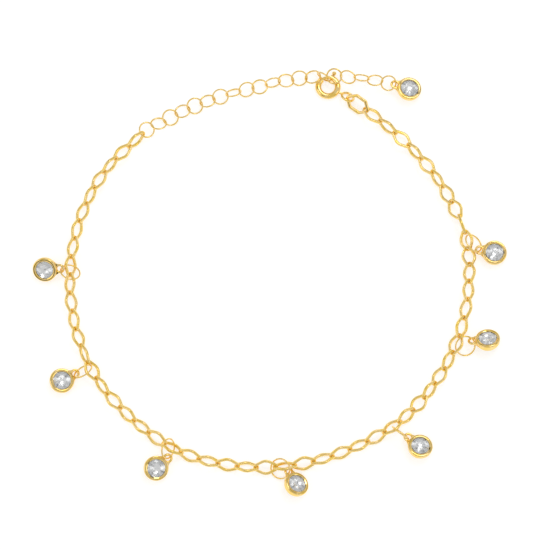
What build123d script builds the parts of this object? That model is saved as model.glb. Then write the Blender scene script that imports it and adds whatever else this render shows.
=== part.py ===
"""A chain anklet lying closed on a table: a lozenge chain with seven bezel-set drops, fastened by a
spring ring into one ring of its extender chain, which ends in an eighth drop.

Millimetres. +Z is up and the table top is z = 0. The origin is on the table, under the middle of
the anklet's outline. +X runs to the right and +Y towards the clasp.
"""

import os
from math import acos, atan2, cos, degrees, hypot, radians, sin, tan

from build123d import *

os.makedirs("parts", exist_ok=True)

# ---------------------------------------------------------------- driving dimensions

link_width = 3.1  # across a lozenge link, outside
ribbon_width = 0.6  # the flat wire of a link, along the link's own axis
ribbon_wall = 0.4  # the flat wire of a link, in the link's plane
link_tip_radius = 0.95  # outer rounding at a link's ends
link_side_radius = 1.25  # outer rounding at a link's sides
link_bite = 0.04  # how far links of one run are joined into each other
link_play = 0.34  # free play between the last link of a run and the next piece
links_per_station = 3
links_per_run = 6
run_count = 9

connector_width = 3.4
connector_flat = 2.4  # length of its two straight sides
connector_wall = 0.5
connector_depth = 0.65
connector_rounding = 0.5
connector_play = 1.3  # between the connector and the first lozenge link
connector_roll = 36

clasp_radius = 1.98  # of the spring ring's centre line
clasp_tube_radius = 0.62
clasp_bore_radius = 0.4
clasp_height = 0.62  # centre line above the table
clasp_gap = (76, 130)  # the mouth, in degrees about the clasp's axis
clasp_slot = (4, 71)  # the slot that the trigger slides in
clasp_slot_width = 0.5
clasp_eyelet_angle = -29.8
clasp_eyelet_reach = 4.6  # from the clasp's centre to the eyelet's
clasp_eyelet_radius = 1.25
clasp_eyelet_wire = 0.26  # radius
clasp_eyelet_rise = 0.42  # of its centre above the clasp's centre line
clasp_eyelet_tilt = -38  # about its spoke
bolt_radius = 0.31
bolt_ends = (57, 138)
trigger_angle = 66
trigger_reach = 3.1  # from the clasp's centre to the middle of the trigger's ball
trigger_ball_radius = 0.45
trigger_stem_radius = 0.18

ring_radius = 1.5  # extender rings, to the middle of the wire
ring_wire = 0.145  # radius
extender_height = 1.0
tail_start_height = 2.0  # where the chain leaves the ring that lies on the clasp
extender_radius = 0.8

jump_radius = 1.95  # jump rings, to the middle of the wire
jump_wire = 0.16  # radius

setting_radius = 2.44
setting_back_radius = 1.55
setting_height = 1.9
setting_bowl_height = 1.0  # where the rounded side of the cup turns upright
setting_bowl_bulge = 0.18
setting_bevel_width = 0.15  # of the rim's outer edge
setting_bevel_height = 0.18
setting_rim_edge = 0.04  # thickness of the rim where it ends over the stone
setting_rim_thickness = 0.14  # and where it leaves the cup's wall
setting_rim_lap = 0.2  # how far the rim is pressed over the stone's edge
setting_hole_radius = 1.15
setting_lip_height = 0.35  # of the metal around the hole
setting_seat_height = 1.35
stone_gap = 0.04
eyelet_radius = 0.74
eyelet_wire = 0.26  # radius
eyelet_reach = 3.0  # from the stone's axis to the eyelet's
eyelet_height = 1.15
neck_angle = 45  # from the eyelet's direction to where the tapered neck leaves the cup's wall
neck_end_width = 1.7
neck_reach = 2.8
neck_thickness = 0.44
neck_overlap = 0.1  # how far inside the cup's wall it begins

stone_radius = 2.0
stone_table_radius = 1.15
stone_girdle = (1.5, 1.6)  # bottom and top of the girdle, above the back of the setting
stone_top = 2.08
stone_bottom = 0.12
stone_mains = 8

# ---------------------------------------------------------------- where everything lies

# The chain's line seen from above, clockwise from the clasp: a point at every third joint of links.
chain_stations = [
    (19.45, 35.4),
    (28.1, 27.8),
    (34.8, 19.2),
    (39.1, 9.7),
    (39.8, -0.3),
    (37.6, -11.4),
    (32.6, -21.0),
    (25.6, -28.6),
    (15.8, -34.1),
    (4.9, -37.2),
    (-6.3, -37.4),
    (-17.3, -34.7),
    (-26.6, -28.4),
    (-34.1, -20.0),
    (-38.4, -10.0),
    (-39.8, 1.0),
    (-38.1, 12.1),
    (-33.3, 22.2),
    (-25.7, 30.2),
]

# How far each link is rolled about the chain's line, in degrees. A positive roll lifts the outer side.
link_rolls = [
    (-28, 70, -15, 70, -20, 70),
    (-20, 30, -80, 40, -20, 45),
    (-40, 45, -40, 30, -50, 35),
    (-55, 20, -50, 45, -45, 45),
    (-50, 45, -40, 55, -30, 45),
    (-45, 45, -50, 50, -45, 45),
    (-50, 35, -60, 30, -65, 45),
    (-45, 45, -45, 50, -40, 55),
    (-35, 65, -30, 70, -25, 70),
]

connector_start = (15.8, 38.1)  # inside the clasp's eyelet
connector_start_height = 1.3

clasp_centre = (11.9, 40.45)
clasp_axis = Axis((*clasp_centre, clasp_height), (0, 0, 1))

extender_route = [
    (-23.3, 32.2, extender_height),
    (-18.0, 35.1, extender_height),
    (-10.7, 38.0, extender_height),
    (-2.5, 40.2, extender_height),
    (5.5, 42.1, extender_height),
    (9.4, 42.5, extender_height),
]
tail_route = [
    (15.15, 42.45, tail_start_height),
    (17.6, 42.2, extender_height),
    (20.2, 41.7, extender_height),
    (22.8, 41.1, extender_height),
]

# Rings: middle, then the direction that the ring's axis points in: heading from +X and height above
# the table, in degrees.
extender_rings = {
    1: ((-24.84, 31.07, 1.49), 325, 73),
    15: ((11.06, 42.28, 1.63), 60, -3),
    16: ((13.14, 42.3, 1.89), 253, 71),
    20: ((24.16, 40.83, 1.87), 277, 58),
}
jump_rings = [
    ((40.8, 7.48, 1.44), 31, 49),
    ((38.77, -13.44, 1.28), -72, 63),
    ((25.66, -30.9, 2.09), 53, 12),
    ((2.13, -37.85, 1.05), 215, 65),
    ((-19.81, -34.04, 2.1), -16, 33),
    ((-36.76, -18.63, 1.74), 124.3, 35.7),
    ((-39.66, 1.37, 2.05), 63, 55),
]

# Drops: middle of the back of the cup, heading of the eyelet, and which way and how far the stone
# leans from facing straight up.
drops = [
    ((44.95, 5.5), 168, 0, 0),
    ((43.3, -13.0), 178, 100, 32),
    ((29.4, -34.0), 136, 75, 18),
    ((4.7, -41.45), 115, 35, 30),
    ((-22.4, -37.6), 40, -45, 16),
    ((-41.2, -20.5), 30, 0, 12),
    ((-44.52, 2.6), 5, -108, 30),
    ((28.2, 39.5), 162, 45, 10),
]


# ---------------------------------------------------------------- places worked out from those


def chain_joint(number):
    """Where link number `number` meets the next one, seen from above."""
    station, step = divmod(number, links_per_station)
    if step == 0:
        return Vector(*chain_stations[station])
    share = step / links_per_station
    start = Vector(*chain_stations[station])
    end = Vector(*chain_stations[station + 1])
    before = Vector(*chain_stations[station - 1]) if station > 0 else start * 2 - end
    after = Vector(*chain_stations[station + 2]) if station + 2 < len(chain_stations) else end * 2 - start
    straight = (end - before) * share
    bend = (before * 2 - start * 5 + end * 4 - after) * share**2
    turn = (start * 3 - before - end * 3 + after) * share**3
    return start + (straight + bend + turn) * 0.5


def link_roll(number):
    """Roll of link `number`, counted from 1 at the clasp."""
    run, place = divmod(number - 1, links_per_run)
    return link_rolls[run][place]


def resting_height(roll, width, depth):
    """How high a link's middle lies when its lower side touches the table."""
    return width / 2 * sin(radians(abs(roll))) + depth / 2 * cos(radians(roll))


def joint_place(number):
    """A joint in space: as high as the steeper of its two links needs."""
    heights = []
    for link in (number, number + 1):
        if link == 0:
            heights.append(resting_height(connector_roll, connector_width, connector_depth))
        elif link <= links_per_run * run_count:
            heights.append(resting_height(link_roll(link), link_width, ribbon_width))
    flat = chain_joint(number)
    return Vector(flat.X, flat.Y, max(heights))


def link_plane(start, end, roll):
    """The plane of a link between two joints: x along the chain, y across it."""
    along = (end - start).normalized()
    across = Vector(0, 0, 1).cross(along).normalized()
    up = along.cross(across)
    axis = up * cos(radians(roll)) - across * sin(radians(roll))
    return Plane(origin=(start + end) * 0.5, x_dir=along, z_dir=axis)


def facing(middle, heading, lift):
    """A plane at `middle` whose axis points to `heading`, at `lift` degrees above the table."""
    turn = radians(heading)
    rise = radians(lift)
    axis = (cos(rise) * cos(turn), cos(rise) * sin(turn), sin(rise))
    return Plane(origin=middle, x_dir=(-sin(turn), cos(turn), 0), z_dir=axis)


def drop_plane(middle, eyelet_heading, lean_heading, lean):
    """The plane of a drop's back: z through the stone's table, x towards the eyelet."""
    toward = radians(lean_heading)
    angle = radians(lean)
    axis = Vector(sin(angle) * cos(toward), sin(angle) * sin(toward), cos(angle))
    heading = Vector(cos(radians(eyelet_heading)), sin(radians(eyelet_heading)), 0)
    level = heading - axis * heading.dot(axis)
    lift = setting_back_radius * sin(angle)
    return Plane(origin=(*middle, lift), x_dir=level.normalized(), z_dir=axis)


def ring_profile_plane(plane):
    """The plane through a ring's axis, for a profile turned about that axis."""
    return Plane(origin=plane.origin, x_dir=plane.x_dir, z_dir=plane.y_dir * -1)


# ---------------------------------------------------------------- shapes used more than once


def link_outline(plane, half_length, half_width, tip_radius, side_radius, wall):
    """A lozenge ring: round ends and sides, joined by straight flanks."""
    tip = half_length - tip_radius
    side = half_width - side_radius
    flank = degrees(acos((side_radius - tip_radius) / hypot(tip, side)) - atan2(side, tip))
    normal = (cos(radians(flank)), sin(radians(flank)))
    with BuildSketch(plane) as outline:
        for inset, mode in ((0, Mode.ADD), (wall, Mode.SUBTRACT)):
            end_round = tip_radius - inset
            side_round = side_radius - inset
            with BuildLine():
                CenterArc((tip, 0), end_round, 0, flank)
                Line(
                    (tip + end_round * normal[0], end_round * normal[1]),
                    (side_round * normal[0], side + side_round * normal[1]),
                )
                CenterArc((0, side), side_round, flank, 90 - flank)
                mirror(about=Plane.YZ)
                mirror(about=Plane.XZ)
            make_face(mode=mode)
    return outline.sketch


def chain_run(run):
    """Six links, joined where they hang in each other."""
    first = run * links_per_run + 1
    last = first + links_per_run - 1
    with BuildPart() as links:
        for number in range(first, last + 1):
            start = joint_place(number - 1)
            end = joint_place(number)
            along = (end - start).normalized()
            joined = ribbon_wall - link_bite / 2
            free = ribbon_wall + (connector_play if number == 1 else link_play) / 2
            start -= along * (free if number == first else joined)
            end += along * (free if number == last else joined)
            outline = link_outline(
                link_plane(start, end, link_roll(number)),
                (end - start).length / 2,
                link_width / 2,
                link_tip_radius,
                link_side_radius,
                ribbon_wall,
            )
            extrude(outline, amount=ribbon_width / 2, both=True)
    return links


def wire_ring(middle, heading, lift, radius, wire):
    """A closed ring of round wire."""
    with BuildPart(facing(middle, heading, lift)) as ring:
        Torus(radius, wire)
    return ring


def tube(name, route):
    """The fine extender chain as a round tube along its route."""
    turns = []
    radii = []
    for before, corner, after in zip(route, route[1:], route[2:]):
        entry = Vector(*corner) - Vector(*before)
        exit_ = Vector(*after) - Vector(*corner)
        turn = radians(entry.get_angle(exit_))
        turns.append(degrees(turn))
        radii.append(0.45 * min(entry.length, exit_.length) / tan(turn / 2))
    print(name, "turns", [round(turn, 1) for turn in turns], "radii", [round(r, 1) for r in radii])
    with BuildPart() as chain:
        with BuildLine() as line:
            FilletPolyline(*route, radius=radii)
        path = line.wires()[0]
        with BuildSketch(Plane(origin=path @ 0, z_dir=path % 0)) as section:
            Circle(extender_radius)
        sweep(path=path)
    print(name, "volume", round(chain.part.volume, 3), "section x length",
          round(section.sketch.area * path.length, 3))
    return chain


def setting(plane):
    """A bezel cup, open at its back, with the eyelet soldered to its side."""
    inside = stone_radius + stone_gap
    profile = [
        (setting_radius, setting_bowl_height),
        (setting_radius, setting_height - setting_bevel_height),
        (setting_radius - setting_bevel_width, setting_height),
        (stone_radius - setting_rim_lap, setting_height),
        (stone_radius - setting_rim_lap, setting_height - setting_rim_edge),
        (inside, setting_height - setting_rim_thickness),
        (inside, setting_seat_height),
        (setting_hole_radius, setting_lip_height),
        (setting_hole_radius, 0),
        (setting_back_radius, 0),
    ]
    with BuildPart() as cup:
        with BuildSketch(ring_profile_plane(plane)):
            with BuildLine():
                Polyline(*profile)
                SagittaArc(profile[-1], profile[0], setting_bowl_bulge)
            make_face()
        revolve(axis=Axis(plane.origin, plane.z_dir))
        level = Plane(plane.origin + plane.z_dir * eyelet_height, plane.x_dir, plane.z_dir)
        root = Vector(setting_radius, 0).rotate(Axis.Z, neck_angle)
        with BuildSketch(level):
            Polygon(
                (root.X, root.Y),
                (root.X, -root.Y),
                (neck_reach, -neck_end_width / 2),
                (neck_reach, neck_end_width / 2),
            )
            Circle(inside + neck_overlap, mode=Mode.SUBTRACT)
            with Locations((eyelet_reach, 0)):
                Circle(eyelet_radius, mode=Mode.SUBTRACT)
        extrude(amount=neck_thickness / 2, both=True)
        with Locations(Plane(level.origin + plane.x_dir * eyelet_reach, plane.x_dir, plane.z_dir)):
            Torus(eyelet_radius, eyelet_wire)
    return cup


def stone(plane):
    """A round brilliant: a girdle with flat facets above and below it."""
    crown = atan2(stone_top - stone_girdle[1], stone_radius - stone_table_radius)
    pavilion = atan2(stone_girdle[0] - stone_bottom, stone_radius)
    with BuildPart() as gem:
        with BuildSketch(Plane(plane.origin + plane.z_dir * stone_bottom, plane.x_dir, plane.z_dir)):
            Circle(stone_radius)
        extrude(amount=stone_top - stone_bottom)
        for side in range(stone_mains):
            turn = radians(side * 360 / stone_mains)
            outward = plane.x_dir * cos(turn) + plane.y_dir * sin(turn)
            for height, slope, up in ((stone_girdle[1], crown, 1), (stone_girdle[0], pavilion, -1)):
                edge = plane.origin + outward * stone_radius + plane.z_dir * height
                facing_way = outward * sin(slope) + plane.z_dir * (up * cos(slope))
                split(bisect_by=Plane(origin=edge, z_dir=facing_way), keep=Keep.BOTTOM)
    return gem


def connector():
    """The heavy six-sided link between the clasp's eyelet and the first lozenge link."""
    start = Vector(*connector_start, connector_start_height)
    end = joint_place(0)
    along = (end - start).normalized()
    start -= along * connector_wall
    end += along * (connector_wall + connector_play / 2)
    half_length = (end - start).length / 2
    corners = []
    for side in (1, -1):
        corners.append((side * half_length, 0))
        corners.append((side * connector_flat / 2, side * connector_width / 2))
        corners.append((-side * connector_flat / 2, side * connector_width / 2))
    with BuildPart() as link:
        with BuildSketch(link_plane(start, end, connector_roll)) as outline:
            Polygon(*corners)
            fillet(outline.vertices(), connector_rounding)
            offset(amount=-connector_wall, mode=Mode.SUBTRACT)
        extrude(amount=connector_depth / 2, both=True)
    return link


def clasp_section(angle):
    """The upright plane through the clasp's axis at an angle, x outwards and y up."""
    outward = Vector(cos(radians(angle)), sin(radians(angle)), 0)
    return Plane(origin=clasp_axis.position, x_dir=outward, z_dir=outward.cross(Vector(0, 0, 1)))


def clasp_spoke(angle, reach, rise=0):
    """The plane across a spoke from the clasp's axis, at `reach` from it, x up."""
    outward = clasp_section(angle).x_dir
    middle = clasp_axis.position + outward * reach + Vector(0, 0, rise)
    return Plane(origin=middle, x_dir=(0, 0, 1), z_dir=outward)


def spring_ring():
    """The clasp's tube, open at its mouth and slotted for the trigger, with a soldered eyelet."""
    solder_start = clasp_radius + (clasp_bore_radius + clasp_tube_radius) / 2
    solder_end = clasp_eyelet_reach - clasp_eyelet_radius
    eyelet = clasp_spoke(clasp_eyelet_angle, clasp_eyelet_reach, clasp_eyelet_rise)
    tilt = radians(clasp_eyelet_tilt)
    eyelet_axis = eyelet.x_dir * cos(tilt) + eyelet.y_dir * sin(tilt)
    with BuildPart() as ring:
        with BuildSketch(clasp_section(clasp_gap[1])):
            with Locations((clasp_radius, 0)):
                Circle(clasp_tube_radius)
                Circle(clasp_bore_radius, mode=Mode.SUBTRACT)
        revolve(axis=clasp_axis, revolution_arc=360 - (clasp_gap[1] - clasp_gap[0]))
        with BuildSketch(clasp_section(clasp_slot[0])):
            with Locations((clasp_radius + clasp_tube_radius, 0)):
                Rectangle(clasp_tube_radius, clasp_slot_width)
        revolve(axis=clasp_axis, revolution_arc=clasp_slot[1] - clasp_slot[0], mode=Mode.SUBTRACT)
        with Locations(Plane(origin=eyelet.origin, x_dir=eyelet.z_dir, z_dir=eyelet_axis)):
            Torus(clasp_eyelet_radius, clasp_eyelet_wire)
        with BuildSketch(clasp_spoke(clasp_eyelet_angle, solder_start, clasp_eyelet_rise / 2)):
            Circle(clasp_eyelet_wire)
        extrude(amount=solder_end - solder_start)
    return ring


def bolt():
    """The curved bolt that closes the clasp's mouth, with its trigger standing out of the slot."""
    with BuildPart() as slide:
        with BuildSketch(clasp_section(bolt_ends[0])):
            with Locations((clasp_radius, 0)):
                Circle(bolt_radius)
        revolve(axis=clasp_axis, revolution_arc=bolt_ends[1] - bolt_ends[0])
        with BuildSketch(clasp_spoke(trigger_angle, clasp_radius)):
            Circle(trigger_stem_radius)
        extrude(amount=trigger_reach - clasp_radius)
        with Locations(clasp_spoke(trigger_angle, trigger_reach)):
            Sphere(trigger_ball_radius)
    return slide


def keep(piece, name):
    """Name a finished piece and write it."""
    piece.part.label = name
    export_step(piece.part, f"parts/{name}.step")


# ---------------------------------------------------------------- the pieces

for run in range(run_count):
    keep(chain_run(run), f"chain_run_{run + 1}")
keep(connector(), "connector_link")
keep(spring_ring(), "clasp_ring")
keep(bolt(), "clasp_bolt")

# The extender: two tubes stand for its fine rings, between the four rings that hold something.
keep(tube("extender_chain", extender_route), "extender_chain")
keep(tube("extender_tail", tail_route), "extender_tail")
for number, place in extender_rings.items():
    keep(wire_ring(*place, ring_radius, ring_wire), f"extender_ring_{number}")

for number, place in enumerate(jump_rings, start=1):
    keep(wire_ring(*place, jump_radius, jump_wire), f"jump_ring_{number}")

for number, place in enumerate(drops, start=1):
    keep(setting(drop_plane(*place)), f"drop_setting_{number}")
    keep(stone(drop_plane(*place)), f"drop_stone_{number}")
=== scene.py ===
"""How the chain anklet looks: polished gold-plated links, rings and cups, and clear brilliant stones.

Lengths are in millimetres, as in the CAD part, and become metres when a mesh is made. The table, the
lights and the camera are placed in metres. Angles are in degrees.
"""

from math import acos, atan2, cos, hypot, pi, radians, sin, tan, tau

import bmesh
import bpy
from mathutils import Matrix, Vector


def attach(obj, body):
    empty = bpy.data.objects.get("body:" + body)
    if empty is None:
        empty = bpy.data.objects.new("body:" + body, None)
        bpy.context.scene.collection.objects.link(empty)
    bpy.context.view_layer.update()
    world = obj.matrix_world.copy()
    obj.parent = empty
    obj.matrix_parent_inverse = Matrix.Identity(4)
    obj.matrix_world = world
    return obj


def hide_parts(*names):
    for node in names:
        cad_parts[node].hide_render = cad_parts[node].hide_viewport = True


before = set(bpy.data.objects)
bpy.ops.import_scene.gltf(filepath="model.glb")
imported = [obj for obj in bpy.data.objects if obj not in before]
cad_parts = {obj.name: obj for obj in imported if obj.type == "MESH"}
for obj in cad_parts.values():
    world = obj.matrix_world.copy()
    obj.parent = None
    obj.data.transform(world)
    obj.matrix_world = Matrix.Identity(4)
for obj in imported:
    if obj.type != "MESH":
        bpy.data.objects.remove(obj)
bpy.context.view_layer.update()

MM = 0.001
UP = Vector((0, 0, 1))
SHARP_ANGLE = 40  # two faces that meet at more than this are shaded with a sharp edge

# How finely curves are cut up.
SECTION_CORNER_STEPS = 3  # a corner of a flat wire's section
WIRE_STEPS = 12  # round a round wire
CORNER_STEPS = 5  # a rounded corner of an outline
LOZENGE_STEPS = 7  # from a lozenge's tip to its flank, and from there to its side
RING_STEPS = 56
SINGLE_RING_STEPS = 72
CUP_STEPS = 96
ROUTE_STEPS = 40  # between two places of a route
NECK_STEPS = 8

# ---------------------------------------------------------------- the lozenge chain's sizes and places

# The place, width and roll of each link are the CAD part's. Its wire and its roundings follow the photo
# more closely here.
LINK_WIDTH = 3.1
RIBBON_WIDTH = 0.58  # along the link's own axis
RIBBON_WALL = 0.5  # in the link's plane
RIBBON_ROUNDING = 0.16
LINK_TIP_RADIUS = 0.88
LINK_SIDE_RADIUS = 1.9
LINK_PLAY = 0.14  # between two links that hold each other
LINKS_PER_STATION = 3
LINKS_PER_RUN = 6
RUN_COUNT = 9

# The chain's line seen from above, clockwise from the clasp: a point at every third joint of links.
CHAIN_STATIONS = [
    (19.45, 35.4),
    (28.1, 27.8),
    (34.8, 19.2),
    (39.1, 9.7),
    (39.8, -0.3),
    (37.6, -11.4),
    (32.6, -21.0),
    (25.6, -28.6),
    (15.8, -34.1),
    (4.9, -37.2),
    (-6.3, -37.4),
    (-17.3, -34.7),
    (-26.6, -28.4),
    (-34.1, -20.0),
    (-38.4, -10.0),
    (-39.8, 1.0),
    (-38.1, 12.1),
    (-33.3, 22.2),
    (-25.7, 30.2),
]

# How far each link is rolled about the chain's line. A positive roll lifts the outer side.
LINK_ROLLS = [
    (-28, 70, -15, 70, -20, 70),
    (-20, 30, -80, 40, -20, 45),
    (-40, 45, -40, 30, -50, 35),
    (-55, 20, -50, 45, -45, 45),
    (-50, 45, -40, 55, -30, 45),
    (-45, 45, -50, 50, -45, 45),
    (-50, 35, -60, 30, -65, 45),
    (-45, 45, -45, 50, -40, 55),
    (-35, 65, -30, 70, -25, 70),
]

# The connector link, with a wire that is a little fuller than the CAD part's.
CONNECTOR_START = (15.8, 38.1, 1.3)  # inside the clasp's eyelet
CONNECTOR_WIDTH = 3.4
CONNECTOR_FLAT = 2.4  # length of its two straight sides
CONNECTOR_REACH = 0.5  # how far its outer ends lie beyond its joints
CONNECTOR_WALL = 0.58
CONNECTOR_DEPTH = 0.8
CONNECTOR_ROUNDING = 0.66
CONNECTOR_PLAY = 1.3  # between the connector and the first lozenge link
CONNECTOR_ROLL = 36

# ---------------------------------------------------------------- the round rings' sizes and places

# Rings: middle, then the direction that the ring's axis points in: heading from +X and height above
# the table.
EXTENDER_RINGS = {
    1: ((-24.84, 31.07, 1.49), 325, 73),
    15: ((11.06, 42.28, 1.63), 60, -3),
    16: ((13.14, 42.3, 1.89), 253, 71),
    20: ((24.16, 40.83, 1.87), 277, 58),
}
JUMP_RINGS = [
    ((40.8, 7.48, 1.44), 31, 49),
    ((38.77, -13.44, 1.28), -72, 63),
    ((25.66, -30.9, 2.09), 53, 12),
    ((2.13, -37.85, 1.05), 215, 65),
    ((-19.81, -34.04, 2.1), -16, 33),
    ((-36.76, -18.63, 1.74), 124.3, 35.7),
    ((-39.66, 1.37, 2.05), 63, 55),
]

# Radii of rings go to the middle of the wire, and wires are given by their radius.
EXTENDER_RING_RADIUS = 1.5
RUN_RING_RADIUS = 1.56  # of the rings between those four
EXTENDER_WIRE = 0.165  # a little fuller than the CAD part's
JUMP_RADIUS = 1.95
JUMP_WIRE = 0.16
JUMP_CUT = 2.0  # the angle of a jump ring that its cut takes

# Rings 2 to 14, seen from above. The line ends beyond ring 15's middle, so that ring 14 holds that ring.
EXTENDER_ROUTE = [
    (-24.84, 31.07),
    (-18.0, 35.1),
    (-10.7, 38.0),
    (-2.5, 40.2),
    (5.5, 42.1),
    (11.55, 42.4),
]
EXTENDER_ROLLS = (-24, 15, -24, 24, -27, 36, -48, 44, -10, 74, -18, 40, -21)  # outer side up if positive
# Rings 17 to 19.
TAIL_ROUTE = [
    (13.14, 42.3),
    (18.9, 42.1),
    (24.16, 40.83),
]
TAIL_ROLLS = (-18, 86, -30)

# ---------------------------------------------------------------- the drops' sizes and places

# Drops: middle of the back of the cup, heading of the eyelet, and which way and how far the stone
# leans from facing straight up.
DROPS = [
    ((44.95, 5.5), 168, 0, 0),
    ((43.3, -13.0), 178, 100, 32),
    ((29.4, -34.0), 136, 75, 18),
    ((4.7, -41.45), 115, 35, 30),
    ((-22.4, -37.6), 40, -45, 16),
    ((-41.2, -20.5), 30, 0, 12),
    ((-44.52, 2.6), 5, -108, 30),
    ((28.2, 39.5), 162, 45, 10),
]

# Heights are above the back of the cup.
SETTING_RADIUS = 2.44
SETTING_BACK_RADIUS = 1.55
SETTING_HEIGHT = 1.9
SETTING_BOWL_HEIGHT = 1.0  # where the rounded side of the cup turns upright
SETTING_BOWL_BEND = (0.26, 0.36)  # where the bowl bends: inwards from the cup's side, and height
SETTING_RIM_LAP = 0.2  # how far the rim is pressed over the stone's edge
SETTING_RIM_EDGE = 0.04  # thickness of the rim where it ends over the stone
SETTING_RIM_THICKNESS = 0.14  # and where it leaves the cup's wall
SETTING_HOLE_RADIUS = 1.15
SETTING_LIP_HEIGHT = 0.35  # of the metal around the hole
SETTING_SEAT_HEIGHT = 1.35
RIM_FLAT = 0.2  # the part of the rim that slopes down to the stone
RIM_SLOPE = 0.08  # and how much it falls
ROUNDING_HOLD = 1 / 3  # share of a rounding, beyond its ends, where a point keeps the flat side flat
STONE_GAP = 0.04  # between a stone and its cup

EYELET_RADIUS = 0.74
EYELET_WIRE = 0.26
EYELET_REACH = 3.0  # from the stone's axis to the eyelet's
EYELET_HEIGHT = 1.15
NECK_ANGLE = 45  # from the eyelet to where the tapered neck leaves the cup
NECK_END = (2.8, 0.92)  # of the neck's edge: from the stone's axis, and from the neck's middle
NECK_HOLLOW = (2.16, 1.18)  # pulls the neck's edge inwards
NECK_ROOT_DEPTH = 0.1  # from the cup's inside to the neck's root, within its wall
NECK_ROOT_ANGLES = range(42, 3, -8)  # of the root's points, from the eyelet
NECK_EYELET_ANGLES = range(170, 105, -10)  # of the points on the eyelet's wire, about its middle
NECK_HALF = 0.27  # of its thickness
NECK_EDGE = 0.1  # how far its edges are softened

STONE_RADIUS = 2.0
STONE_TABLE_RADIUS = 1.15
STONE_GIRDLE = (1.5, 1.6)  # bottom and top
STONE_TOP = 2.08
STONE_BOTTOM = 1.0  # the silvered facets are shallower than the CAD part's stone
STONE_MAINS = 8
STAR_RADIUS = 1.6  # where star, main and upper half facets meet
BREAK_RADIUS = 0.9  # where mains and lower half facets meet below

# ---------------------------------------------------------------- places worked out from those


def through(before, start, end, after, share):
    """A point between start and end on the smooth line through four points."""
    straight = (end - before) * share
    bend = (before * 2 - start * 5 + end * 4 - after) * share**2
    turn = (start * 3 - before - end * 3 + after) * share**3
    return start + (straight + bend + turn) * 0.5


def chain_joint(number):
    """Where link `number` meets the next one, seen from above."""
    station, step = divmod(number, LINKS_PER_STATION)
    start = Vector(CHAIN_STATIONS[station])
    if step == 0:
        return start
    share = step / LINKS_PER_STATION
    end = Vector(CHAIN_STATIONS[station + 1])
    before = Vector(CHAIN_STATIONS[station - 1]) if station > 0 else start * 2 - end
    after = Vector(CHAIN_STATIONS[station + 2]) if station + 2 < len(CHAIN_STATIONS) else end * 2 - start
    return through(before, start, end, after, share)


def link_roll(number):
    run, place = divmod(number - 1, LINKS_PER_RUN)
    return LINK_ROLLS[run][place]


def resting_height(roll, width, depth):
    """How high a link's middle lies when its lower side touches the table."""
    return width / 2 * sin(radians(abs(roll))) + depth / 2 * cos(radians(roll))


def joint_place(number):
    """Where link `number` meets the next one. Link 0 is the connector."""
    heights = []
    for link in (number, number + 1):
        if link == 0:
            heights.append(resting_height(CONNECTOR_ROLL, CONNECTOR_WIDTH, CONNECTOR_DEPTH))
        elif link <= LINKS_PER_RUN * RUN_COUNT:
            heights.append(resting_height(link_roll(link), LINK_WIDTH, RIBBON_WIDTH))
    flat = chain_joint(number)
    return Vector((flat.x, flat.y, max(heights)))


def rolled_axes(start, end, roll):
    """Along the chain, across it and a link's own axis, for a link between two joints."""
    along = (end - start).normalized()
    across = UP.cross(along).normalized()
    up = along.cross(across)
    axis = up * cos(radians(roll)) - across * sin(radians(roll))
    return along, axis.cross(along), axis


def direction_to(heading, height):
    """A direction by its heading from +X and its height above the table."""
    turn, rise = radians(heading), radians(height)
    return Vector((cos(rise) * cos(turn), cos(rise) * sin(turn), sin(rise)))


def polar(angle, radius):
    return Vector((cos(radians(angle)), sin(radians(angle)))) * radius


# ---------------------------------------------------------------- mesh helpers


class Shape:
    """Vertices and faces of one piece, in millimetres."""

    def __init__(self):
        self.points = []
        self.faces = []

    def loops(self, rings, closed):
        """Quads between rings of points, each ring closed in itself."""
        first = len(self.points)
        size = len(rings[0])
        for ring in rings:
            self.points.extend(ring)
        count = len(rings)
        for row in range(count if closed else count - 1):
            here = first + row * size
            there = first + (row + 1) % count * size
            for step in range(size):
                after = (step + 1) % size
                self.faces.append((here + step, here + after, there + after, there + step))
        if not closed:
            self.faces.append(tuple(range(first + size - 1, first - 1, -1)))
            self.faces.append(tuple(range(first + (count - 1) * size, first + count * size)))

    def piece(self, name, material, replaced, slot="gold", body="anklet", smooth=True):
        """The finished Blender object, which stands for the CAD nodes in `replaced`."""
        mesh = bpy.data.meshes.new(name)
        mesh.from_pydata([point * MM for point in self.points], [], self.faces)
        outward = bmesh.new()
        outward.from_mesh(mesh)
        bmesh.ops.recalc_face_normals(outward, faces=outward.faces)
        outward.to_mesh(mesh)
        outward.free()
        mesh.polygons.foreach_set("use_smooth", [smooth] * len(mesh.polygons))
        mesh.set_sharp_from_angle(angle=radians(SHARP_ANGLE))
        mesh.materials.append(material)
        obj = bpy.data.objects.new(name, mesh)
        bpy.context.scene.collection.objects.link(obj)
        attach(obj, body)
        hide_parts(*replaced)
        return obj


def rounded_section(thick, wide, corner):
    """A rounded rectangle, `thick` outwards by `wide` along the axis, as (out, up) pairs."""
    section = []
    for quarter, (side, top) in enumerate(((1, 1), (-1, 1), (-1, -1), (1, -1))):
        for step in range(SECTION_CORNER_STEPS + 1):
            angle = (quarter + step / SECTION_CORNER_STEPS) * pi / 2
            section.append((
                side * (thick / 2 - corner) + corner * cos(angle),
                top * (wide / 2 - corner) + corner * sin(angle),
            ))
    return section


def round_section(radius):
    angles = [tau * step / WIRE_STEPS for step in range(WIRE_STEPS)]
    return [(radius * cos(angle), radius * sin(angle)) for angle in angles]


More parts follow.
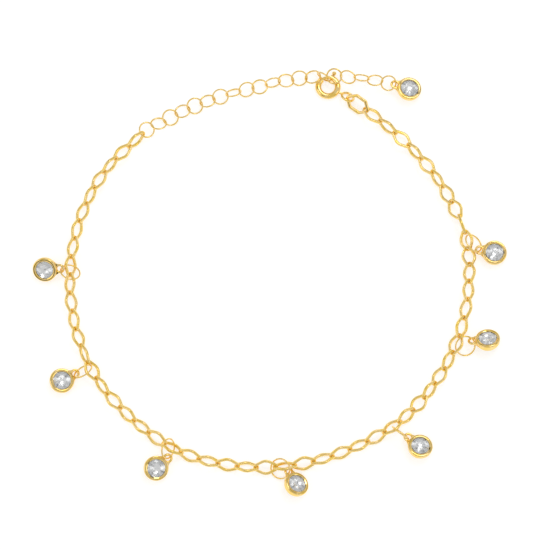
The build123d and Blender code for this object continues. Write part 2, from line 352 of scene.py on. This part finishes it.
def rounded_outline(corners, rounding, inset):
    """Points and outward angles round a polygon with rounded corners, `inset` inside its edge."""
    outline = []
    for before, corner, after in zip(corners[-1:] + corners, corners, corners[1:] + corners[:1]):
        entry = (Vector(corner) - Vector(before)).normalized()
        exit_ = (Vector(after) - Vector(corner)).normalized()
        turn = -entry.angle_signed(exit_)
        back = rounding * tan(turn / 2)
        first = atan2(-entry.x, entry.y)
        centre = Vector(corner) - entry * back + Vector((-entry.y, entry.x)) * rounding
        for step in range(CORNER_STEPS + 1):
            angle = first + turn * step / CORNER_STEPS
            spot = centre + Vector((cos(angle), sin(angle))) * (rounding - inset)
            outline.append((spot.x, spot.y, angle))
    return outline


def lozenge(half_length, half_width, tip_radius, side_radius, inset):
    """Points and outward angles once round a lozenge ring, `inset` inside its outer edge."""
    tip = half_length - tip_radius
    side = half_width - side_radius
    tip_arc = tip_radius - inset
    side_arc = side_radius - inset
    flank = acos((side_radius - tip_radius) / hypot(tip, side)) - atan2(side, tip)
    quarter = []
    for step in range(LOZENGE_STEPS):
        angle = flank * step / LOZENGE_STEPS
        quarter.append((tip + tip_arc * cos(angle), tip_arc * sin(angle), angle))
    start = Vector((tip + tip_arc * cos(flank), tip_arc * sin(flank)))
    end = Vector((side_arc * cos(flank), side + side_arc * sin(flank)))
    for share in (0, 0.5, 1):
        place = start.lerp(end, share)
        quarter.append((place.x, place.y, flank))
    for step in range(1, LOZENGE_STEPS + 1):
        angle = flank + (pi / 2 - flank) * step / LOZENGE_STEPS
        quarter.append((side_arc * cos(angle), side + side_arc * sin(angle), angle))
    half = quarter + [(-x, y, pi - angle) for x, y, angle in reversed(quarter[:-1])]
    return half + [(x, -y, -angle) for x, y, angle in reversed(half[1:-1])]


def add_band(shape, start, end, roll, outline, section):
    """A section carried round an outline, in the rolled plane between two joints."""
    along, across, axis = rolled_axes(start, end, roll)
    middle = (start + end) / 2
    rings = []
    for x, y, angle in outline:
        place = middle + along * x + across * y
        out = along * cos(angle) + across * sin(angle)
        rings.append([place + out * a + axis * b for a, b in section])
    shape.loops(rings, closed=True)


def add_turned(shape, middle, side, axis, profile):
    """A closed profile of (radius, height) points turned about an axis."""
    other = axis.cross(side)
    rings = []
    for step in range(CUP_STEPS):
        angle = tau * step / CUP_STEPS
        out = side * cos(angle) + other * sin(angle)
        rings.append([middle + out * reach + axis * height for reach, height in profile])
    shape.loops(rings, closed=True)


def add_plate(shape, middle, axes, outline, half, edge):
    """A flat plate with softened edges; its outline is given along the first two axes."""
    centre = sum((Vector(point) for point in outline), Vector((0, 0))) / len(outline)
    rings = []
    for height, inset in ((-half, edge), (edge - half, 0), (half - edge, 0), (half, edge)):
        ring = []
        for point in outline:
            spot = Vector(point)
            spot += (centre - spot).normalized() * inset
            ring.append(middle + axes[0] * spot.x + axes[1] * spot.y + axes[2] * height)
        rings.append(ring)
    shape.loops(rings, closed=False)


def add_ring(shape, middle, side, axis, radius, wire, steps=RING_STEPS, opening=0):
    """A ring of round wire. `side` is where its cut is, if `opening` isn't 0."""
    side = (side - axis * side.dot(axis)).normalized()
    other = axis.cross(side)
    section = round_section(wire)
    sweep = tau - radians(opening)
    count = steps if opening == 0 else steps + 1
    rings = []
    for step in range(count):
        angle = radians(opening) / 2 + sweep * step / steps
        out = side * cos(angle) + other * sin(angle)
        rings.append([middle + out * (radius + a) + axis * b for a, b in section])
    shape.loops(rings, closed=opening == 0)


# ---------------------------------------------------------------- materials

NOISE_SPAN = (0.3, 0.7)  # most of the noise lies between these
BUMP_STRENGTH = 0.2
STONE_IOR = 1.8
MIX_FACTOR, MIX_FIRST, MIX_SECOND = 0, 6, 7  # inputs of a Mix node that mixes colours
MIX_RESULT = 2  # and its output


def nodes_of(material):
    material.use_nodes = True
    tree = material.node_tree
    return tree, tree.nodes["Principled BSDF"]


def noise(tree, place, scale, detail):
    """Noise in the object's own space."""
    node = tree.nodes.new("ShaderNodeTexNoise")
    node.inputs["Scale"].default_value = scale
    node.inputs["Detail"].default_value = detail
    tree.links.new(place.outputs["Object"], node.inputs["Vector"])
    return node.outputs["Fac"]


def mapped(tree, value, given, wanted):
    """A value that runs over the span `given`, made to run over the span `wanted`."""
    node = tree.nodes.new("ShaderNodeMapRange")
    node.inputs["From Min"].default_value, node.inputs["From Max"].default_value = given
    node.inputs["To Min"].default_value, node.inputs["To Max"].default_value = wanted
    tree.links.new(value, node.inputs["Value"])
    return node.outputs["Result"]


def uneven_colour(tree, shader, colours, grain):
    """A base colour that wanders between two."""
    mix = tree.nodes.new("ShaderNodeMix")
    mix.data_type = "RGBA"
    mix.inputs[MIX_FIRST].default_value = (*colours[0], 1)
    mix.inputs[MIX_SECOND].default_value = (*colours[1], 1)
    tree.links.new(mapped(tree, grain, NOISE_SPAN, (0, 1)), mix.inputs[MIX_FACTOR])
    tree.links.new(mix.outputs[MIX_RESULT], shader.inputs["Base Color"])


def uneven_gloss(tree, shader, roughness, grain):
    tree.links.new(mapped(tree, grain, NOISE_SPAN, roughness), shader.inputs["Roughness"])


def gold(name, deep, pale, roughness, bump):
    """Polished plating: a slightly uneven colour and gloss, with fine tumbling marks."""
    material = bpy.data.materials.new(name)
    tree, shader = nodes_of(material)
    shader.inputs["Metallic"].default_value = 1.0
    place = tree.nodes.new("ShaderNodeTexCoord")
    uneven_colour(tree, shader, (deep, pale), noise(tree, place, scale=900, detail=3))
    uneven_gloss(tree, shader, roughness, noise(tree, place, scale=2600, detail=4))
    relief = tree.nodes.new("ShaderNodeBump")
    relief.inputs["Strength"].default_value = BUMP_STRENGTH
    relief.inputs["Distance"].default_value = bump * MM
    tree.links.new(noise(tree, place, scale=1600, detail=2), relief.inputs["Height"])
    tree.links.new(relief.outputs["Normal"], shader.inputs["Normal"])
    return material


def stone_top():
    """Clear cut stone above its girdle."""
    material = bpy.data.materials.new("clear_stone")
    tree, shader = nodes_of(material)
    shader.inputs["Transmission Weight"].default_value = 1.0
    shader.inputs["IOR"].default_value = STONE_IOR
    place = tree.nodes.new("ShaderNodeTexCoord")
    cool, clear = (0.96, 0.97, 0.98), (1.0, 1.0, 1.0)
    uneven_colour(tree, shader, (cool, clear), noise(tree, place, scale=700, detail=2))
    uneven_gloss(tree, shader, (0.0, 0.02), noise(tree, place, scale=1500, detail=2))
    return material


def stone_foil():
    """The silvered facets below the girdle, seen through the stone."""
    material = bpy.data.materials.new("silvered_facets")
    tree, shader = nodes_of(material)
    shader.inputs["Metallic"].default_value = 1.0
    place = tree.nodes.new("ShaderNodeTexCoord")
    grey, white = (0.86, 0.87, 0.88), (0.99, 0.99, 0.98)
    uneven_colour(tree, shader, (grey, white), noise(tree, place, scale=3500, detail=3))
    uneven_gloss(tree, shader, (0.12, 0.26), noise(tree, place, scale=2500, detail=3))
    return material


CHAIN_GOLD = gold("chain_gold", (0.96, 0.675, 0.14), (0.98, 0.745, 0.36), roughness=(0.2, 0.3), bump=0.004)
WIRE_GOLD = gold("wire_gold", (0.96, 0.665, 0.15), (0.98, 0.745, 0.37), roughness=(0.2, 0.3), bump=0.004)
CUP_GOLD = gold("cup_gold", (0.96, 0.655, 0.14), (0.98, 0.745, 0.36), roughness=(0.03, 0.08), bump=0.002)
CROWN = stone_top()
FOIL = stone_foil()

# ---------------------------------------------------------------- the lozenge chain

ribbon = rounded_section(RIBBON_WALL, RIBBON_WIDTH, RIBBON_ROUNDING)
for run in range(RUN_COUNT):
    links = Shape()
    for number in range(run * LINKS_PER_RUN + 1, (run + 1) * LINKS_PER_RUN + 1):
        start, end = joint_place(number - 1), joint_place(number)
        reach = (end - start).normalized() * (RIBBON_WALL + LINK_PLAY / 2)
        half_length = (end - start).length / 2 + reach.length
        outline = lozenge(half_length, LINK_WIDTH / 2, LINK_TIP_RADIUS, LINK_SIDE_RADIUS, RIBBON_WALL / 2)
        add_band(links, start - reach, end + reach, link_roll(number), outline, ribbon)
    links.piece(f"links_{run + 1}", CHAIN_GOLD, [f"chain_run_{run + 1}"])

# ---------------------------------------------------------------- the extender's fine rings


def smooth_line(route):
    """Many points on the smooth line through a short route."""
    ends = [Vector(place) for place in route]
    ends = [ends[0] * 2 - ends[1], *ends, ends[-1] * 2 - ends[-2]]
    line = []
    for before, start, end, after in zip(ends, ends[1:], ends[2:], ends[3:]):
        for step in range(ROUTE_STEPS):
            line.append(through(before, start, end, after, step / ROUTE_STEPS))
    return line + [ends[-2]]


def spaced(line, count):
    """`count` + 1 places at equal steps along a line, from its start to its end."""
    reach = [0.0]
    for one, other in zip(line, line[1:]):
        reach.append(reach[-1] + (other - one).length)
    places = []
    at = 0
    for step in range(count + 1):
        goal = reach[-1] * step / count
        while at < len(line) - 2 and reach[at + 1] < goal:
            at += 1
        share = (goal - reach[at]) / (reach[at + 1] - reach[at])
        places.append(line[at].lerp(line[at + 1], share))
    return places


def extender(route, rolls, first, last):
    """Rings linked through one another, between the CAD part's rings `first` and `last`."""
    shape = Shape()
    places = spaced(smooth_line(route), len(rolls) + 1)
    heights = [resting_height(roll, 2 * RUN_RING_RADIUS, 0) + EXTENDER_WIRE for roll in rolls]
    # Inner joints lie halfway up between their two rings, and the outer ones as high as the end rings.
    joints = [(one + other) / 2 for one, other in zip(heights, heights[1:])]
    joints = [EXTENDER_RINGS[first][0][2], *joints, EXTENDER_RINGS[last][0][2]]
    for ring, roll in enumerate(rolls):
        before = (places[ring] + places[ring + 1]) / 2
        after = (places[ring + 1] + places[ring + 2]) / 2
        start = Vector((before.x, before.y, joints[ring]))
        end = Vector((after.x, after.y, joints[ring + 1]))
        _, across, axis = rolled_axes(start, end, roll)
        middle = (start + end) / 2
        middle.z = max(middle.z, heights[ring])
        add_ring(shape, middle, across, axis, RUN_RING_RADIUS, EXTENDER_WIRE)
    return shape


extender(EXTENDER_ROUTE, EXTENDER_ROLLS, 1, 15).piece("extender_rings", WIRE_GOLD, ["extender_chain"])
extender(TAIL_ROUTE, TAIL_ROLLS, 16, 20).piece("tail_rings", WIRE_GOLD, ["extender_tail"])

# ---------------------------------------------------------------- rings of round wire


def wire_ring(name, replaced, place, radius, wire, opening):
    middle, heading, lift = place
    side = Vector((-sin(radians(heading)), cos(radians(heading)), 0))
    shape = Shape()
    add_ring(
        shape, Vector(middle), side, direction_to(heading, lift), radius, wire,
        steps=SINGLE_RING_STEPS, opening=opening,
    )
    shape.piece(name, WIRE_GOLD, [replaced])


for number, place in EXTENDER_RINGS.items():
    wire_ring(f"ring_{number}", f"extender_ring_{number}", place, EXTENDER_RING_RADIUS, EXTENDER_WIRE, 0)
for number, place in enumerate(JUMP_RINGS, start=1):
    wire_ring(f"open_ring_{number}", f"jump_ring_{number}", place, JUMP_RADIUS, JUMP_WIRE, JUMP_CUT)

# ---------------------------------------------------------------- connector link

connector_start = Vector(CONNECTOR_START)
connector_end = joint_place(0)
connector_along = (connector_end - connector_start).normalized()
connector_start -= connector_along * CONNECTOR_REACH
connector_end += connector_along * (CONNECTOR_REACH + CONNECTOR_PLAY / 2)
half_length = (connector_end - connector_start).length / 2
hexagon = []
for side in (1, -1):
    hexagon.append((side * half_length, 0))
    hexagon.append((side * CONNECTOR_FLAT / 2, side * CONNECTOR_WIDTH / 2))
    hexagon.append((-side * CONNECTOR_FLAT / 2, side * CONNECTOR_WIDTH / 2))
connector = Shape()
add_band(
    connector, connector_start, connector_end, CONNECTOR_ROLL,
    rounded_outline(hexagon, CONNECTOR_ROUNDING, CONNECTOR_WALL / 2),
    rounded_section(CONNECTOR_WALL, CONNECTOR_DEPTH, RIBBON_ROUNDING),
)
connector.piece("connector", CUP_GOLD, ["connector_link"])

# ---------------------------------------------------------------- drops


def drop_frame(place):
    """The middle of a cup's back, and the directions to its eyelet, across that and up to the stone."""
    middle, eyelet_heading, lean_heading, lean = place
    toward, angle = radians(lean_heading), radians(lean)
    axis = Vector((sin(angle) * cos(toward), sin(angle) * sin(toward), cos(angle)))
    heading = Vector((cos(radians(eyelet_heading)), sin(radians(eyelet_heading)), 0))
    level = (heading - axis * heading.dot(axis)).normalized()
    back = Vector((*middle, SETTING_BACK_RADIUS * sin(angle)))
    return back, level, axis.cross(level), axis


def cup_profile():
    """Half of the cup's section, with its rim pressed over the stone."""
    inside = STONE_RADIUS + STONE_GAP
    lap = STONE_RADIUS - SETTING_RIM_LAP
    bend_inset, bend_height = SETTING_BOWL_BEND
    corners = [  # radius, height and rounding
        (SETTING_HOLE_RADIUS, 0, 0.05),
        (SETTING_BACK_RADIUS, 0, 0.12),
        (SETTING_RADIUS - bend_inset, bend_height, 0.5),
        (SETTING_RADIUS, SETTING_BOWL_HEIGHT, 0.4),
        (SETTING_RADIUS, SETTING_HEIGHT, 0.26),
        (lap + RIM_FLAT, SETTING_HEIGHT, 0.3),
        (lap, SETTING_HEIGHT - RIM_SLOPE, 0.015),
        (lap, SETTING_HEIGHT - RIM_SLOPE - SETTING_RIM_EDGE, 0.015),
        (inside, SETTING_HEIGHT - SETTING_RIM_THICKNESS, 0.02),
        (inside, SETTING_SEAT_HEIGHT, 0.03),
        (SETTING_HOLE_RADIUS, SETTING_LIP_HEIGHT, 0.08),
    ]
    profile = []
    for index, (*corner, rounding) in enumerate(corners):
        before = corners[index - 1][:2]
        after = corners[(index + 1) % len(corners)][:2]
        arc = rounded_corner(before, corner, after, rounding)
        hold = rounding * ROUNDING_HOLD
        profile.append(arc[0] + (Vector(before) - arc[0]).normalized() * hold)
        profile.extend(arc)
        profile.append(arc[-1] + (Vector(after) - arc[-1]).normalized() * hold)
    return [(point.x, point.y) for point in profile]


def rounded_corner(before, corner, after, rounding):
    """The points of the rounded corner between two others."""
    size = CORNER_STEPS + 1
    outline = rounded_outline([before, corner, after], rounding, 0)
    return [Vector((x, y)) for x, y, _ in outline[size:2 * size]]


def neck_outline():
    """One side of the tapered neck: its free edge, then the cup's wall, then the eyelet's wire."""
    root, end, hollow = polar(NECK_ANGLE, SETTING_RADIUS), Vector(NECK_END), Vector(NECK_HOLLOW)
    outline = []
    for step in range(NECK_STEPS + 1):
        share = step / NECK_STEPS
        outline.append(end.lerp(hollow, share).lerp(hollow.lerp(root, share), share))
    wall = STONE_RADIUS + STONE_GAP + NECK_ROOT_DEPTH
    outline += [polar(angle, wall) for angle in NECK_ROOT_ANGLES]
    middle = Vector((EYELET_REACH, 0))
    outline += [middle + polar(angle, EYELET_RADIUS) for angle in NECK_EYELET_ANGLES]
    return outline


def setting(number, place):
    """A bezel cup with its eyelet and the neck between them."""
    back, toward, across, axis = drop_frame(place)
    level = back + axis * EYELET_HEIGHT
    cup = Shape()
    add_turned(cup, back, toward, axis, cup_profile())
    add_ring(cup, level + toward * EYELET_REACH, toward, axis, EYELET_RADIUS, EYELET_WIRE)
    for side in (1, -1):
        outline = [(x, side * y) for x, y in neck_outline()]
        add_plate(cup, level, (toward, across, axis), outline, NECK_HALF, NECK_EDGE)
    cup.piece(f"cup_{number}", CUP_GOLD, [f"drop_setting_{number}"])


def brilliant(number, place):
    """Table, stars, mains and upper halves above the girdle, mains and lower halves below it."""
    back, toward, across, axis = drop_frame(place)
    half_step = pi / STONE_MAINS

    def ring(radius, height, shift):
        """A point for each main facet, `shift` half facets further round."""
        points = []
        for main in range(STONE_MAINS):
            angle = shift * half_step + 2 * half_step * main
            out = radius * cos(angle)
            aside = radius * sin(angle)
            points.append(back + toward * out + across * aside + axis * height)
        return points

    def mains_height(radius, start, end):
        """Height of the main facets' planes at a corner of theirs that lies between two of them."""
        share = (radius * cos(half_step) - start[0]) / (end[0] - start[0])
        return start[1] + (end[1] - start[1]) * share

    low, high = STONE_GIRDLE
    star_height = mains_height(STAR_RADIUS, (STONE_TABLE_RADIUS, STONE_TOP), (STONE_RADIUS, high))
    break_height = mains_height(BREAK_RADIUS, (0, STONE_BOTTOM), (STONE_RADIUS, low))
    rings = [
        ring(STONE_TABLE_RADIUS, STONE_TOP, 0),
        ring(STAR_RADIUS, star_height, 1),
        ring(STONE_RADIUS, high, 0),
        ring(STONE_RADIUS, high, 1),
        ring(STONE_RADIUS, low, 0),
        ring(STONE_RADIUS, low, 1),
        ring(BREAK_RADIUS, break_height, 1),
    ]
    table, star, upper, upper_half, lower, lower_half, pavilion = (
        range(row * STONE_MAINS, (row + 1) * STONE_MAINS) for row in range(len(rings))
    )
    culet = len(rings) * STONE_MAINS
    stone = Shape()
    for points in rings:
        stone.points += points
    stone.points.append(back + axis * STONE_BOTTOM)
    stone.faces = [tuple(table)]
    for main in range(STONE_MAINS):
        after = (main + 1) % STONE_MAINS
        stone.faces += [
            (table[after], table[main], star[main]),
            (table[main], star[main - 1], upper[main], star[main]),
            (star[main], upper[main], upper_half[main]),
            (star[main], upper_half[main], upper[after]),
            (upper[main], lower[main], lower_half[main], upper_half[main]),
            (upper_half[main], lower_half[main], lower[after], upper[after]),
            (lower[main], pavilion[main], lower_half[main]),
            (lower_half[main], pavilion[main], lower[after]),
            (lower[main], pavilion[main - 1], culet, pavilion[main]),
        ]
    gem = stone.piece(f"brilliant_{number}", CROWN, [f"drop_stone_{number}"], slot="stone", smooth=False)
    gem.data.materials.append(FOIL)
    for face in gem.data.polygons:
        if (face.center / MM - back).dot(axis) < low:
            face.material_index = 1


for number, place in enumerate(DROPS, start=1):
    setting(number, place)
    brilliant(number, place)

# ---------------------------------------------------------------- CAD nodes that keep their shape

for name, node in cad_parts.items():
    if name.startswith("clasp"):
        node.data.materials.clear()
        node.data.materials.append(CUP_GOLD)

# ---------------------------------------------------------------- table

FLOOR_REACH = 3  # from the middle to its sides
PAPER_GREY = 0.6
PAPER_GLOW = 0.59  # the paper's own light, which brings it to white
PAPER_ROUGHNESS = 0.9
PAPER_SPECULAR = 0.1

floor_corners = [(x * FLOOR_REACH, y * FLOOR_REACH, 0) for x, y in ((-1, -1), (1, -1), (1, 1), (-1, 1))]
floor_mesh = bpy.data.meshes.new("table_top")
floor_mesh.from_pydata(floor_corners, [], [(0, 1, 2, 3)])
floor = bpy.data.objects.new("table_top", floor_mesh)
bpy.context.scene.collection.objects.link(floor)
paper = bpy.data.materials.new("paper")
_, paper_shader = nodes_of(paper)
paper_shader.inputs["Base Color"].default_value = (PAPER_GREY, PAPER_GREY, PAPER_GREY, 1)
paper_shader.inputs["Emission Color"].default_value = (1, 1, 1, 1)
paper_shader.inputs["Emission Strength"].default_value = PAPER_GLOW
paper_shader.inputs["Roughness"].default_value = PAPER_ROUGHNESS
paper_shader.inputs["Specular IOR Level"].default_value = PAPER_SPECULAR
floor_mesh.materials.append(paper)

# ---------------------------------------------------------------- studio

# The studio is darker near the horizon, up to this height (the sine of its angle).
SKY_SPAN = (0.0, 0.3)
SKY_LIGHT = (0.52, 0.69)
# Dark gaps between the studio's white sheets, which polished rims mirror as short dark dashes.
GAPS = [(-125, 38), (-35, 30), (35, 42), (110, 30), (160, 48)]  # heading and height
GAP_EDGE = (0.988, 0.993)  # cosines of the angles from a gap's middle between which it darkens
GAP_LIGHT = (1.0, 0.05)  # what is left of the light outside a gap and in it

world = bpy.data.worlds.new("studio")
bpy.context.scene.world = world
world.use_nodes = True
studio = world.node_tree
sky = studio.nodes["Background"]
sky.inputs["Color"].default_value = (1, 1, 1, 1)
direction = studio.nodes.new("ShaderNodeTexCoord").outputs["Generated"]
parts = studio.nodes.new("ShaderNodeSeparateXYZ")
studio.links.new(direction, parts.inputs["Vector"])
light = mapped(studio, parts.outputs["Z"], SKY_SPAN, SKY_LIGHT)
for heading, height in GAPS:
    nearness = studio.nodes.new("ShaderNodeVectorMath")
    nearness.operation = "DOT_PRODUCT"
    nearness.inputs[1].default_value = direction_to(heading, height)
    studio.links.new(direction, nearness.inputs[0])
    darkened = studio.nodes.new("ShaderNodeMath")
    darkened.operation = "MULTIPLY"
    studio.links.new(light, darkened.inputs[0])
    studio.links.new(mapped(studio, nearness.outputs["Value"], GAP_EDGE, GAP_LIGHT), darkened.inputs[1])
    light = darkened.outputs["Value"]
studio.links.new(light, sky.inputs["Strength"])

# Softboxes: place and size in metres, and power in watts. All of them face the anklet.
SOFTBOXES = {
    "key": ((0.2, 0.4, 0.76), (0.32, 0.22), 0.9),
    "fill": ((-0.6, -0.15, 0.5), (0.4, 0.4), 0.4),
    "side": ((0.65, -0.2, 0.45), (0.35, 0.4), 0.3),
}
for name, (place, size, power) in SOFTBOXES.items():
    lamp = bpy.data.lights.new(name, "AREA")
    lamp.shape = "RECTANGLE"
    lamp.size, lamp.size_y = size
    lamp.energy = power
    softbox = bpy.data.objects.new(name, lamp)
    softbox.location = place
    softbox.rotation_euler = (-Vector(place)).to_track_quat("-Z", "Y").to_euler()
    bpy.context.scene.collection.objects.link(softbox)

# ---------------------------------------------------------------- camera

CAMERA_LENS = 147.3
CAMERA_SENSOR = 36
CAMERA_NEAR = 0.01
CAMERA_TARGET = (1.10, 1.27, 0)  # in millimetres
CAMERA_ELEVATION = 77
CAMERA_DISTANCE = 0.45

camera = bpy.data.cameras.new("camera")
camera.lens = CAMERA_LENS
camera.sensor_width = CAMERA_SENSOR
camera.clip_start = CAMERA_NEAR
eye = bpy.data.objects.new("camera", camera)
toward_eye = Vector((0, -cos(radians(CAMERA_ELEVATION)), sin(radians(CAMERA_ELEVATION))))
eye.location = Vector(CAMERA_TARGET) * MM + toward_eye * CAMERA_DISTANCE
eye.rotation_euler = (-toward_eye).to_track_quat("-Z", "Y").to_euler()
bpy.context.scene.collection.objects.link(eye)
bpy.context.scene.camera = eye
bpy.context.scene.view_settings.view_transform = "Standard"
